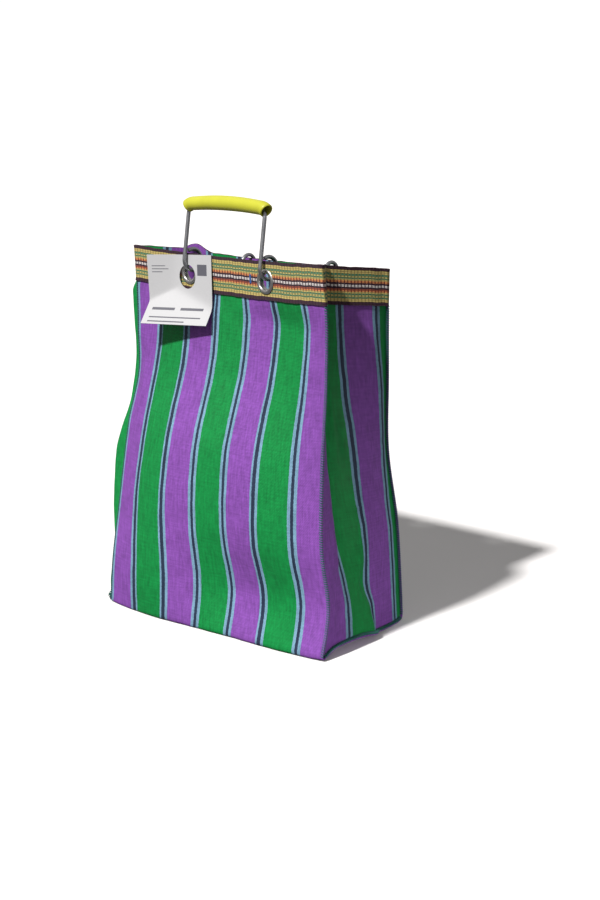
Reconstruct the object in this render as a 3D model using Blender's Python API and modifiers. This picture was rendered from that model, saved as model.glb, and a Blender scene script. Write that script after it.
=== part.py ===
"""Striped woven tote bag with two wire bail handles, four rim eyelets and a hanging card tag.

Metres, +Z up. The origin is the middle of the base, on the floor. The front faces -Y.
"""
import math

import bpy
import numpy as np
from mathutils import Matrix, Vector

# ---- driving dimensions ------------------------------------------------------
PANEL_THICK = 0.0010          # woven cloth
GAP = 0.0003                  # clearance between pieces that touch
EYELET_GAP = 0.0006           # clearance under an eyelet, because the cloth round it is slightly bent
BASE_LIFT = 0.0020            # how far the gussets' lower edges sit above the floor

# Plan of the bag at stations of height, from 0 at the base to 1 at the rim:
# (station, front left, front right, back right, back left), corners as (x, y).
PLAN = (
    (0.00, (-0.1400, -0.0725), (0.1400, -0.0725), (0.1410, 0.0730), (-0.1400, 0.0720)),
    (0.13, (-0.1360, -0.0710), (0.1430, -0.0660), (0.1395, 0.0705), (-0.1390, 0.0710)),
    (0.29, (-0.1360, -0.0580), (0.1400, -0.0730), (0.1360, 0.0680), (-0.1390, 0.0690)),
    (0.50, (-0.1340, -0.0430), (0.1415, -0.0750), (0.1290, 0.0590), (-0.1400, 0.0660)),
    (0.71, (-0.1315, -0.0275), (0.1455, -0.0750), (0.1300, 0.0550), (-0.1420, 0.0640)),
    (0.90, (-0.1320, -0.0250), (0.1435, -0.0730), (0.1320, 0.0500), (-0.1450, 0.0620)),
    (1.00, (-0.1340, -0.0250), (0.1410, -0.0750), (0.1320, 0.0500), (-0.1460, 0.0620)),
)
# Bow of each side at the same stations: the front and back outwards, the gussets inwards.
BOW = (
    (0.00, 0.007, 0.004, 0.005, 0.006),
    (0.13, 0.008, 0.006, 0.008, 0.014),
    (0.29, 0.018, 0.012, 0.014, 0.028),
    (0.50, 0.018, 0.012, 0.021, 0.036),
    (0.71, 0.002, 0.009, 0.028, 0.041),
    (0.90, -0.005, 0.006, 0.031, 0.043),
    (1.00, -0.006, 0.006, 0.031, 0.043),
)
RIM_FRONT_LEFT = 0.3805       # height of the rim at each corner
RIM_FRONT_RIGHT = 0.3805
RIM_BACK_RIGHT = 0.3660
RIM_BACK_LEFT = 0.3700
RIM_DIP = 0.0035              # sag of the rim in the middle of the front
RIM_DIP_BACK = 0.0045
SEAM_INSET = 0.0030           # width of the seam allowance outside each gusset
RIM_INSET = 0.0010            # the same under the rim tape, where it is pressed flat
GUSSET_SETBACK = 0.0014       # from the front panel's middle to the gusset's edge

TAPE_HEIGHT = 0.0360
TAPE_THICK = 0.0010
TAPE_OFFSET = PANEL_THICK / 2 + GAP + TAPE_THICK / 2

THREAD_RADIUS = 0.0006
TACK_LENGTH = 0.0075

EYELET_DEPTH = 0.0185         # eyelet centre below the rim
EYELET_BORE = 0.00775
EYELET_BARREL = 0.00840
EYELET_FLANGE = 0.01175
CLOTH_HOLE = 0.00870
WASHER_RADIUS = 0.01100
WASHER_THICK = 0.0007
FRONT_EYELETS = (0.3055, 0.7070)   # places along the front, from its left corner
BACK_EYELETS = (0.3450, 0.7420)

WIRE_RADIUS = 0.0020
EYE_RADIUS = 0.0105           # wire centre line in the round eyes at the handle's ends
EYE_INWARD = 0.0036           # eye centre, inwards from the cloth
EYE_DEPTH = 0.0063            # eye centre, below the rim
EYE_END_ANGLE = 124.0         # the eye stops here, just short of the leg
HANDLE_HALF_TOP = 0.0560      # half the leg spacing at the grip
HANDLE_HEIGHT = 0.0540        # wire centre at the grip, above the eyes' centres
HANDLE_CROWN = 0.0028         # rise of the wire in the middle of the grip
CORNER_RADIUS = 0.0090
GRIP_RADIUS = 0.0069
GRIP_WALL = 0.0044
FRONT_LEAN = 8.0              # degrees inwards from upright
BACK_LEAN = 183.0             # the back handle hangs inside the bag

TAG_WIDTH = 0.0800
TAG_HEIGHT = 0.0720
TAG_THICK = 0.0005
TAG_HOLE = 0.0120             # radius
TAG_OUTWARD = 0.00400         # card's middle, outwards from the cloth
TAG_TOP_DEPTH = 0.0036        # card's top edge below the rim
TAG_HOLE_DEPTH = 0.0096       # top of the card's hole below the rim
TAG_HOLE_SIDE = 0.0040        # hole centre, right of the card's middle
TAG_ROLL = 2.0                # degrees, top edge inwards
TAG_TURN = 3.0                # degrees, right edge up

FRONT_COLUMNS = 16
GUSSET_COLUMNS = 10
WALL_ROWS = 12
BASE_ROWS = 5
ROUND_STEPS = 24


# ---- helpers -----------------------------------------------------------------
def clear_scene():
    for item in list(bpy.data.objects):
        bpy.data.objects.remove(item)


def make_collection(name):
    collection = bpy.data.collections.new(name)
    bpy.context.scene.collection.children.link(collection)
    return collection


def make_material(name, colour, roughness, metallic=0.0):
    material = bpy.data.materials.new(name)
    material.use_nodes = True
    shader = material.node_tree.nodes["Principled BSDF"]
    shader.inputs["Base Color"].default_value = (*colour, 1.0)
    shader.inputs["Roughness"].default_value = roughness
    shader.inputs["Metallic"].default_value = metallic
    return material


def add_object(name, data, material, collection=None):
    item = bpy.data.objects.new(name, data)
    (collection or PARTS).objects.link(item)
    if material:
        data.materials.append(material)
    return item


def grid_mesh(name, rows, closed=False):
    """A sheet of quads through rows of points; closed joins each row's last point to its first."""
    count = len(rows[0])
    points = [tuple(point) for row in rows for point in row]
    faces = []
    for r in range(len(rows) - 1):
        for c in range(count if closed else count - 1):
            d = (c + 1) % count
            faces.append((r * count + c, (r + 1) * count + c, (r + 1) * count + d, r * count + d))
    mesh = bpy.data.meshes.new(name)
    mesh.from_pydata(points, [], faces)
    mesh.update()
    return mesh


def smooth(item, angle=40.0):
    item.data.shade_smooth()
    item.data.set_sharp_from_angle(angle=math.radians(angle))


def add_solidify(item, thickness, offset=0.0):
    modifier = item.modifiers.new("thickness", "SOLIDIFY")
    modifier.thickness = thickness
    modifier.offset = offset
    modifier.use_even_offset = True


def add_cut(item, cutter):
    modifier = item.modifiers.new("cut", "BOOLEAN")
    modifier.operation = "DIFFERENCE"
    modifier.object = cutter


def poly_curve(name, points, radius, caps=True):
    curve = bpy.data.curves.new(name, "CURVE")
    curve.dimensions = "3D"
    curve.bevel_depth = radius
    curve.bevel_resolution = 2
    curve.use_fill_caps = caps
    spline = curve.splines.new("POLY")
    spline.points.add(len(points) - 1)
    for place, point in zip(spline.points, points):
        place.co = (*point, 1.0)
    spline.use_smooth = True
    return curve


def turned_mesh(name, profile):
    """A closed ring profile of (radius, height) points, ready for a Screw modifier."""
    count = len(profile)
    mesh = bpy.data.meshes.new(name)
    edges = [(i, (i + 1) % count) for i in range(count)]
    mesh.from_pydata([(radius, 0.0, height) for radius, height in profile], edges, [])
    return mesh


def add_screw(item):
    modifier = item.modifiers.new("turn", "SCREW")
    modifier.axis = "Z"
    modifier.steps = ROUND_STEPS
    modifier.render_steps = ROUND_STEPS
    modifier.use_merge_vertices = True
    modifier.merge_threshold = 0.00001
    modifier.use_smooth_shade = True


# ---- the bag's shape ---------------------------------------------------------
def blend_stations(table, station):
    """Smooth value between a table's stations, through each of them (Catmull-Rom)."""
    knots = np.array([row[0] for row in table])
    values = np.array([np.hstack(row[1:]) for row in table])
    slopes = np.gradient(values, knots, axis=0)
    i = int(np.clip(np.searchsorted(knots, station, side="right") - 1, 0, len(knots) - 2))
    width = knots[i + 1] - knots[i]
    t = (station - knots[i]) / width
    start = (2 * t**3 - 3 * t**2 + 1) * values[i] + (t**3 - 2 * t**2 + t) * width * slopes[i]
    end = (3 * t**2 - 2 * t**3) * values[i + 1] + (t**3 - t**2) * width * slopes[i + 1]
    return start + end


def corners(station):
    flat = blend_stations(PLAN, station)
    return flat[0:2], flat[2:4], flat[4:6], flat[6:8]


def arch(along):
    """Bow of the front and back: 0 at both ends and 1 in the middle."""
    return 4.0 * along * (1.0 - along)


def fold(along):
    """Inward fold of a gusset: it leaves both seams square."""
    return math.sin(math.pi * along) ** 2


def left_normal(direction):
    """The horizontal unit vector to the left of a direction."""
    return np.array([-direction[1], direction[0]]) / np.hypot(*direction)


def wall_plan(side, station, along):
    """Plan point in the middle of the cloth: front and back run left to right, gussets front to back."""
    front_left, front_right, back_right, back_left = corners(station)
    front_bow, back_bow, right_bow, left_bow = blend_stations(BOW, station)
    start, end, bow = {
        "front": (front_left, front_right, -front_bow),
        "back": (back_left, back_right, back_bow),
        "right": (front_right, back_right, right_bow),
        "left": (front_left, back_left, -left_bow),
    }[side]
    shape = fold(along) if side in ("right", "left") else arch(along)
    return start + (end - start) * along + left_normal(end - start) * bow * shape


def rim_height(side, along):
    start, end, dip = {
        "front": (RIM_FRONT_LEFT, RIM_FRONT_RIGHT, RIM_DIP),
        "back": (RIM_BACK_LEFT, RIM_BACK_RIGHT, RIM_DIP_BACK),
        "right": (RIM_FRONT_RIGHT, RIM_BACK_RIGHT, 0.0),
        "left": (RIM_FRONT_LEFT, RIM_BACK_LEFT, 0.0),
    }[side]
    return start + (end - start) * along - dip * arch(along)


def wall_point(side, station, along):
    plan = wall_plan(side, station, along)
    return Vector((*plan, PANEL_THICK / 2 + station * (rim_height(side, along) - PANEL_THICK / 2)))


def wall_outward(side, station, along):
    """The cloth's horizontal outward direction at a point of the front or the back."""
    step = 0.01
    direction = wall_plan(side, station, along + step) - wall_plan(side, station, along - step)
    normal = left_normal(direction)
    return Vector((*(-normal if side == "front" else normal), 0.0))


# ---- cloth panels ------------------------------------------------------------
def build_main_panel(cutters):
    """Front, base and back are one cloth."""
    columns = np.linspace(0.0, 1.0, FRONT_COLUMNS + 1)
    stations = np.linspace(0.0, 1.0, WALL_ROWS + 1)
    rows = [[wall_point("front", u, v) for v in columns] for u in stations[::-1]]
    for share in np.linspace(0.0, 1.0, BASE_ROWS + 1)[1:-1]:
        rows.append([wall_point("front", 0.0, v).lerp(wall_point("back", 0.0, v), share) for v in columns])
    rows += [[wall_point("back", u, v) for v in columns] for u in stations]
    panel = add_object("main_panel", grid_mesh("main_panel", rows), CLOTH_GREEN)
    add_solidify(panel, PANEL_THICK)
    for cutter in cutters:
        add_cut(panel, cutter)
    smooth(panel)


def gusset_inset(station):
    """The seam allowance narrows over one row of the cloth, just below the tape."""
    ramp_start = 1.0 - 2.0 / WALL_ROWS
    under_tape = np.clip((station - ramp_start) * WALL_ROWS, 0.0, 1.0)
    return SEAM_INSET + (RIM_INSET - SEAM_INSET) * under_tape


def gusset_plan(side, station, along):
    """A gusset starts behind the front panel's edge and ends before the back panel's."""
    start = seam_start(side, "front", station)
    end = seam_start(side, "back", station)
    right_bow, left_bow = blend_stations(BOW, station)[2:4]
    bow = right_bow if side == "right" else -left_bow
    return start + (end - start) * along + left_normal(end - start) * bow * fold(along)


def gusset_point(side, station, along):
    plan = gusset_plan(side, station, along)
    return Vector((*plan, BASE_LIFT + station * (rim_height(side, along) - BASE_LIFT)))


def seam_start(side, panel, station, inset=None, setback=GUSSET_SETBACK):
    """A point near a vertical seam: inset from the panel's edge, and set back inside the panel."""
    edge = 1.0 if side == "right" else 0.0
    inner = 0.98 if side == "right" else 0.02
    corner = wall_plan(panel, station, edge)
    inwards = wall_plan(panel, station, inner) - corner
    inwards = inwards / np.hypot(*inwards)
    behind = -np.array(wall_outward(panel, station, edge)[:2])
    width = gusset_inset(station) if inset is None else inset
    return corner + inwards * width + behind * setback


def build_gusset(side):
    columns = np.linspace(0.0, 1.0, GUSSET_COLUMNS + 1)
    stations = np.linspace(1.0, 0.0, WALL_ROWS + 1)
    rows = [[gusset_point(side, u, w) for w in columns] for u in stations]
    if side == "left":
        rows = [row[::-1] for row in rows]
    gusset = add_object("gusset_" + side, grid_mesh("gusset_" + side, rows), CLOTH_PURPLE)
    add_solidify(gusset, PANEL_THICK)
    smooth(gusset)


# ---- rim tape ----------------------------------------------------------------
def rim_loop(depth):
    """The rim seen from above, counter-clockwise, with the tape's offset, at a depth below the rim."""
    plan = []
    heights = []
    for side, count, backwards in (("front", FRONT_COLUMNS, False), ("right", GUSSET_COLUMNS, False),
                                   ("back", FRONT_COLUMNS, True), ("left", GUSSET_COLUMNS, True)):
        for i in range(count):
            along = 1.0 - i / count if backwards else i / count
            top = rim_height(side, along)
            station = 1.0 - depth / top
            on_gusset = side in ("right", "left") and 0.0 < along < 1.0
            plan.append(gusset_plan(side, station, along) if on_gusset else wall_plan(side, station, along))
            heights.append(top - depth)
    loop = []
    for i, point in enumerate(plan):
        before = point - plan[i - 1]
        after = plan[(i + 1) % len(plan)] - point
        first = -left_normal(before)
        second = -left_normal(after)
        mitre = (first + second) / (1.0 + first @ second)
        loop.append(Vector((*(point + mitre * TAPE_OFFSET), heights[i])))
    return loop


def build_rim_tape(cutters):
    rows = [rim_loop(depth) for depth in (0.0, TAPE_HEIGHT / 2, TAPE_HEIGHT)]
    tape = add_object("rim_tape", grid_mesh("rim_tape", rows, closed=True), TAPE)
    add_solidify(tape, TAPE_THICK)
    for cutter in cutters:
        add_cut(tape, cutter)
    smooth(tape)


def build_bar_tack():
    """A short upright bar of thread that closes the tape's two ends, left of the right front eyelet."""
    along = 0.63
    top = rim_height("front", along)
    middle = EYELET_DEPTH - 0.001
    points = []
    for depth in (middle - TACK_LENGTH / 2, middle, middle + TACK_LENGTH / 2):
        station = 1.0 - depth / top
        outward = wall_outward("front", station, along)
        reach = TAPE_OFFSET + TAPE_THICK / 2 + GAP + THREAD_RADIUS
        place = wall_plan("front", station, along)
        points.append(Vector((*place, top - depth)) + outward * reach)
    add_object("tape_bar_tack", poly_curve("tape_bar_tack", points, THREAD_RADIUS), THREAD_BLUE)


# ---- seam threads ------------------------------------------------------------
def build_upright_thread(side, panel):
    """Overlock thread in the corner between a panel's seam allowance and the gusset."""
    setback = PANEL_THICK / 2 + GAP + THREAD_RADIUS + 0.0001
    points = []
    for station in np.linspace(0.03, 0.885, 15):
        inset = gusset_inset(station) - PANEL_THICK / 2 - 2 * THREAD_RADIUS
        plan = seam_start(side, panel, station, inset, setback)
        points.append(Vector((*plan, station * rim_height(panel, 1.0 if side == "right" else 0.0))))
    name = "seam_thread_" + panel + "_" + side
    add_object(name, poly_curve(name, points, THREAD_RADIUS), THREAD_GREEN)


def build_base_thread(side):
    """Overlock thread along a gusset's lower edge, on the base panel's seam allowance."""
    points = []
    outwards = 1.0 if side == "right" else -1.0
    reach = PANEL_THICK / 2 + GAP + THREAD_RADIUS + 0.0003
    height = PANEL_THICK + GAP + THREAD_RADIUS
    for along in np.linspace(0.05, 0.95, 12):
        point = gusset_point(side, 0.0, along)
        points.append(Vector((point.x + outwards * reach, point.y, height)))
    name = "seam_thread_base_" + side
    add_object(name, poly_curve(name, points, THREAD_RADIUS), THREAD_GREEN)


# ---- eyelets -----------------------------------------------------------------
def eyelet_frame(side, along):
    """Placement of an eyelet: its Z axis points outwards and its origin is in the cloth's middle."""
    station = 1.0 - EYELET_DEPTH / rim_height(side, along)
    outward = wall_outward(side, station, along)
    up = Vector((0.0, 0.0, 1.0))
    across = up.cross(outward)
    turn = Matrix((across, up, outward)).transposed().to_4x4()
    place = Vector((*wall_plan(side, station, along), rim_height(side, along) - EYELET_DEPTH))
    return Matrix.Translation(place) @ turn


def build_cutter(name, frame):
    bpy.ops.mesh.primitive_cylinder_add(vertices=ROUND_STEPS, radius=CLOTH_HOLE, depth=0.012)
    cutter = bpy.context.object
    cutter.name = name
    cutter.matrix_world = frame
    cutter.hide_render = True
    cutter.display_type = "WIRE"
    for collection in list(cutter.users_collection):
        collection.objects.unlink(cutter)
    CUTTERS.objects.link(cutter)
    return cutter


def eyelet_profile():
    """Rolled flange outside, a thin barrel through the cloth, and a flare over the washer inside."""
    seat = TAPE_OFFSET + TAPE_THICK / 2 + EYELET_GAP
    flare = -PANEL_THICK / 2 - 2 * EYELET_GAP - WASHER_THICK
    return (
        (EYELET_BORE, seat - 0.0004),
        (EYELET_BORE + 0.0004, seat + 0.0006),
        (EYELET_BORE + 0.0018, seat + 0.0010),
        (EYELET_FLANGE - 0.0010, seat + 0.0007),
        (EYELET_FLANGE, seat + 0.0001),
        (EYELET_FLANGE - 0.0003, seat),
        (EYELET_BARREL, seat),
        (EYELET_BARREL, flare),
        (EYELET_BARREL + 0.0012, flare),
        (EYELET_BARREL + 0.0010, flare - 0.0006),
        (EYELET_BORE + 0.0003, flare - 0.0006),
        (EYELET_BORE, flare + 0.0002),
    )


def build_eyelet(label, frame):
    eyelet = add_object("eyelet_" + label, turned_mesh("eyelet_" + label, eyelet_profile()), STEEL)
    eyelet.matrix_world = frame
    add_screw(eyelet)
    top = -PANEL_THICK / 2 - EYELET_GAP
    profile = (
        (WASHER_RADIUS, top),
        (WASHER_RADIUS, top - WASHER_THICK),
        (CLOTH_HOLE, top - WASHER_THICK),
        (CLOTH_HOLE, top),
    )
    washer = add_object("washer_" + label, turned_mesh("washer_" + label, profile), STEEL)
    washer.matrix_world = frame
    add_screw(washer)


# ---- handles -----------------------------------------------------------------
def arc(centre, radius, start, end, steps):
    """Points of an arc in a plane, angles in degrees, as (first, second) coordinates."""
    angles = np.radians(np.linspace(start, end, steps + 1))
    return [(centre[0] + radius * math.cos(a), centre[1] + radius * math.sin(a)) for a in angles]


def crown(across):
    return HANDLE_HEIGHT + HANDLE_CROWN * (1.0 - (across / HANDLE_HALF_TOP) ** 2)


def left_half_of_wire(half_span):
    """Eye, leg and corner on the left, as points with X along the hinge, Y inwards and Z up."""
    points = [Vector((-half_span, y, z)) for y, z in arc((0, 0), EYE_RADIUS, EYE_END_ANGLE, -180.0, 20)]
    corner_y = -EYE_RADIUS
    leg_top = HANDLE_HEIGHT - CORNER_RADIUS
    points.append(Vector((-(half_span + HANDLE_HALF_TOP) / 2, corner_y, leg_top / 2)))
    centre = (-HANDLE_HALF_TOP + CORNER_RADIUS, leg_top)
    points += [Vector((x, corner_y, z)) for x, z in arc(centre, CORNER_RADIUS, 180.0, 90.0, 5)]
    points += [Vector((x, corner_y, crown(x))) for x in np.linspace(-0.030, -0.010, 2)]
    return points


def build_handle(label, side, places, lean):
    ends = []
    for along in places:
        outward = wall_outward(side, 1.0, along)
        plan = Vector((*wall_plan(side, 1.0, along), rim_height(side, along) - EYE_DEPTH))
        ends.append(plan - outward * EYE_INWARD)
    if side == "back":
        ends.reverse()
    middle = (ends[0] + ends[1]) / 2
    across = (ends[1] - ends[0]).normalized()
    inward = Vector((0.0, 0.0, 1.0)).cross(across).normalized()
    turn = Matrix((across, inward, across.cross(inward))).transposed().to_4x4()
    hinge = bpy.data.objects.new(label + "_hinge", None)
    PARTS.objects.link(hinge)
    hinge.matrix_world = Matrix.Translation(middle) @ turn @ Matrix.Rotation(math.radians(-lean), 4, "X")

    half_span = (ends[1] - ends[0]).length / 2
    half = left_half_of_wire(half_span)
    mirrored = [Vector((-p.x, p.y, p.z)) for p in reversed(half)]
    path = half + [Vector((0.0, -EYE_RADIUS, crown(0.0)))] + mirrored
    wire = add_object(label + "_wire", poly_curve(label + "_wire", path, WIRE_RADIUS), WIRE)
    wire.parent = hinge

    grip_from = 24
    sleeve = path[grip_from:len(path) - grip_from]
    tube = bpy.data.objects.new("tube", poly_curve("tube", sleeve, GRIP_RADIUS, caps=False))
    PARTS.objects.link(tube)
    tube.data.bevel_resolution = 6
    bpy.context.view_layer.update()
    skin = bpy.data.meshes.new_from_object(tube.evaluated_get(bpy.context.evaluated_depsgraph_get()))
    bpy.data.objects.remove(tube)
    skin.materials.clear()
    grip = add_object(label + "_grip", skin, VINYL)
    grip.parent = hinge
    add_solidify(grip, GRIP_WALL, offset=-1.0)
    smooth(grip)
    return hinge


# ---- card tag ----------------------------------------------------------------
def build_tag():
    """A card threaded on the left eye of the front handle by its round hole."""
    along = FRONT_EYELETS[0]
    outward = wall_outward("front", 1.0, along)
    across = Vector((0.0, 0.0, 1.0)).cross(outward)
    pin_height = rim_height("front", along) - TAG_HOLE_DEPTH
    pin = Vector((*wall_plan("front", 1.0, along), pin_height)) + outward * TAG_OUTWARD
    turn = Matrix((across, outward.cross(across), outward)).transposed().to_4x4()
    turn = turn @ Matrix.Rotation(math.radians(-TAG_ROLL), 4, "X")
    turn = turn @ Matrix.Rotation(math.radians(TAG_TURN), 4, "Z")

    outline = bpy.data.curves.new("swing_tag", "CURVE")
    outline.dimensions = "2D"
    outline.fill_mode = "BOTH"
    outline.extrude = TAG_THICK / 2
    left = -TAG_HOLE_SIDE - TAG_WIDTH / 2
    top = TAG_HOLE_DEPTH - TAG_TOP_DEPTH
    card = ((left, top - TAG_HEIGHT), (left + TAG_WIDTH, top - TAG_HEIGHT), (left + TAG_WIDTH, top), (left, top))
    hole = arc((0.0, -TAG_HOLE), TAG_HOLE, 0.0, -360.0, ROUND_STEPS)[:-1]
    for points in (card, hole):
        spline = outline.splines.new("POLY")
        spline.points.add(len(points) - 1)
        for place, point in zip(spline.points, points):
            place.co = (*point, 0.0, 1.0)
        spline.use_cyclic_u = True
    tag = add_object("swing_tag", outline, CARD)
    tag.matrix_world = Matrix.Translation(pin) @ turn


# ---- build -------------------------------------------------------------------
clear_scene()
PARTS = make_collection("striped_tote_bag")
CUTTERS = make_collection("cutters")
CLOTH_GREEN = make_material("woven_cloth_green", (0.01, 0.30, 0.08), 0.45)
CLOTH_PURPLE = make_material("woven_cloth_purple", (0.30, 0.07, 0.50), 0.45)
TAPE = make_material("rim_tape", (0.62, 0.45, 0.14), 0.75)
THREAD_GREEN = make_material("green_thread", (0.01, 0.12, 0.09), 0.70)
THREAD_BLUE = make_material("blue_thread", (0.05, 0.17, 0.45), 0.70)
STEEL = make_material("nickel_steel", (0.55, 0.54, 0.52), 0.25, 1.0)
WIRE = make_material("galvanised_wire", (0.42, 0.43, 0.44), 0.40, 1.0)
VINYL = make_material("yellow_vinyl", (0.80, 0.85, 0.03), 0.40)
CARD = make_material("white_card", (0.85, 0.85, 0.86), 0.60)

EYELETS = (
    ("front_left", "front", FRONT_EYELETS[0]),
    ("front_right", "front", FRONT_EYELETS[1]),
    ("back_left", "back", BACK_EYELETS[0]),
    ("back_right", "back", BACK_EYELETS[1]),
)
hole_cutters = []
for eyelet_label, eyelet_side, eyelet_along in EYELETS:
    eyelet_place = eyelet_frame(eyelet_side, eyelet_along)
    build_eyelet(eyelet_label, eyelet_place)
    hole_cutters.append(build_cutter("hole_" + eyelet_label, eyelet_place))
build_main_panel(hole_cutters)
build_rim_tape(hole_cutters)
build_bar_tack()
for seam_side in ("left", "right"):
    build_gusset(seam_side)
    build_upright_thread(seam_side, "front")
    build_upright_thread(seam_side, "back")
    build_base_thread(seam_side)
build_handle("front_handle", "front", FRONT_EYELETS, FRONT_LEAN)
build_handle("back_handle", "back", BACK_EYELETS, BACK_LEAN)
build_tag()
bpy.context.view_layer.update()
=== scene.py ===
"""Looks of the striped woven tote bag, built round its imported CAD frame.

Metres, +Z up. The origin is the middle of the base and the front faces -Y. The bag's plan, the eyelets and
the handles repeat the CAD source's dimensions, so every new piece lies where the solid it stands for is.
"""

import math

import bmesh
import bpy
import numpy as np
from mathutils import Matrix, Vector


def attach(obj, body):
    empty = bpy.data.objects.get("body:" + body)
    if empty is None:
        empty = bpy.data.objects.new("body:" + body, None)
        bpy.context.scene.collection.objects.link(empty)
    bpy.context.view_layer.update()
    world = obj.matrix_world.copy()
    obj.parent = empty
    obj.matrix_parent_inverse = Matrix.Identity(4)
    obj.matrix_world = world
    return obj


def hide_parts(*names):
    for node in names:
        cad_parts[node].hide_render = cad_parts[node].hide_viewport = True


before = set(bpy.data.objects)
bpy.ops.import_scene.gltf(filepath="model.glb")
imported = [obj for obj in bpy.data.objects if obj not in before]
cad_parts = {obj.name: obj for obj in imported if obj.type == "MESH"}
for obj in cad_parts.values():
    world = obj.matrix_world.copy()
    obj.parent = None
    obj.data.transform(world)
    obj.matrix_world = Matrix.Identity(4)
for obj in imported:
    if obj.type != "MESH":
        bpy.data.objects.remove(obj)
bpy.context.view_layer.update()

MM = 0.001

# ---- dimensions that repeat the CAD source -----------------------------------
PLAN = (
    (0.00, (-0.1400, -0.0725), (0.1400, -0.0725), (0.1410, 0.0730), (-0.1400, 0.0720)),
    (0.13, (-0.1360, -0.0710), (0.1430, -0.0660), (0.1395, 0.0705), (-0.1390, 0.0710)),
    (0.29, (-0.1360, -0.0580), (0.1400, -0.0730), (0.1360, 0.0680), (-0.1390, 0.0690)),
    (0.50, (-0.1340, -0.0430), (0.1415, -0.0750), (0.1290, 0.0590), (-0.1400, 0.0660)),
    (0.71, (-0.1315, -0.0275), (0.1455, -0.0750), (0.1300, 0.0550), (-0.1420, 0.0640)),
    (0.90, (-0.1320, -0.0250), (0.1435, -0.0730), (0.1320, 0.0500), (-0.1450, 0.0620)),
    (1.00, (-0.1340, -0.0250), (0.1410, -0.0750), (0.1320, 0.0500), (-0.1460, 0.0620)),
)
# Bow of the front and the back outwards, at the same stations.
BOW = (
    (0.00, 0.007, 0.004),
    (0.13, 0.008, 0.006),
    (0.29, 0.018, 0.012),
    (0.50, 0.018, 0.012),
    (0.71, 0.002, 0.009),
    (0.90, -0.005, 0.006),
    (1.00, -0.006, 0.006),
)
RIM_FRONT = 0.3805
RIM_BACK_RIGHT = 0.3660
RIM_BACK_LEFT = 0.3700
RIM_DIP = 0.0035
RIM_DIP_BACK = 0.0045
RIM_PEAK = 0.0075               # the back's rim stands up by this near its left corner
CLOTH_WIDTH = 0.281
GUSSET_WIDTH = 0.145
PANEL_THICK = 0.0010
GAP = 0.0003
EYELET_GAP = 0.0006
SEAM_INSET = 0.0030
SEAM_SETBACK = 0.0014
TAPE_HEIGHT = 0.0360
TAPE_THICK = 0.0010
TAPE_OFFSET = PANEL_THICK / 2 + GAP + TAPE_THICK / 2
TAPE_RIB = 0.0040
EYELET_DEPTH = 0.0185
EYELET_BORE = 0.00775
EYELET_BARREL = 0.00840
EYELET_FLANGE = 0.01175
FRONT_EYELETS = (0.3055, 0.7070)
BACK_EYELETS = (0.3450, 0.7420)
WIRE_RADIUS = 0.0020
EYE_RADIUS = 0.0105
EYE_INWARD = 0.0036
EYE_DEPTH = 0.0063
HANDLE_HALF_TOP = 0.0560
HANDLE_HEIGHT = 0.0540
HANDLE_CROWN = 0.0028
CORNER_RADIUS = 0.0090
GRIP_RADIUS = 0.0069
GRIP_WALL = 0.0018
GRIP_BEND = 0.0165
FRONT_LEAN = 8.0
BACK_LEAN = 183.0
TAG_HOLE_DEPTH = 0.0096
TAG_OUTWARD = 0.0040
TAG_ROLL = 2.0
TAG_TURN = 3.0

# ---- stripes of the cloth, in millimetres, and colours -----------------------
LINE_HALF = 1.85               # half of a navy line
EDGE_WIDTH = 3.2               # light blue on each side of it
PANEL_LINES = (0.0, 41.0, 83.0, 124.0, 166.0, 206.0, 250.0)
RIGHT_LINES = (41.0, 85.0, 130.0)
LEFT_LINES = (-3.0, 41.0, 85.0, 130.0)

PURPLE = (0.196, 0.063, 0.322)
GREEN = (0.004, 0.200, 0.043)
LIGHT_BLUE = (0.160, 0.290, 0.400)
NAVY = (0.020, 0.031, 0.060)
PLUM = (0.035, 0.010, 0.022)
YELLOW = (0.470, 0.365, 0.120)
TAPE_GREEN = (0.045, 0.160, 0.095)
OLIVE = (0.230, 0.270, 0.100)
ORANGE = (0.560, 0.210, 0.070)
RUST = (0.260, 0.055, 0.030)
WHITE = (0.600, 0.560, 0.540)
MAUVE = (0.200, 0.150, 0.160)
VINYL_YELLOW = (0.490, 0.490, 0.032)
CARD_WHITE = (0.49, 0.49, 0.50)
INK = (0.10, 0.10, 0.12)
NICKEL = (0.44, 0.43, 0.42)
ZINC = (0.30, 0.305, 0.32)
TEAL = (0.006, 0.085, 0.070)
THREAD_BLUE = (0.030, 0.110, 0.330)
FLOOR_SEEN = (0.90, 0.885, 0.88)
FLOOR_BOUNCE = (0.16, 0.16, 0.16)

# Rows of the rim tape from the top down: width in millimetres, colour on the ribs, colour between them.
TAPE_ROWS = (
    (3.0, PLUM, PLUM),
    (3.3, YELLOW, YELLOW),
    (2.1, TAPE_GREEN, OLIVE),
    (1.5, YELLOW, OLIVE),
    (1.6, TAPE_GREEN, OLIVE),
    (1.5, YELLOW, YELLOW),
    (2.1, ORANGE, RUST),
    (1.9, PLUM, PLUM),
    (2.1, WHITE, MAUVE),
    (1.9, PLUM, PLUM),
    (1.6, RUST, RUST),
    (1.2, ORANGE, RUST),
    (1.5, YELLOW, YELLOW),
    (1.7, TAPE_GREEN, OLIVE),
    (1.6, YELLOW, OLIVE),
    (1.7, TAPE_GREEN, OLIVE),
    (3.1, YELLOW, YELLOW),
    (3.0, PLUM, PLUM),
)

UP = Vector((0.0, 0.0, 1.0))


# ---- smooth tables -----------------------------------------------------------
def interval(knots, places):
    return np.clip(np.searchsorted(knots, places, side="right") - 1, 0, len(knots) - 2)


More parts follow.
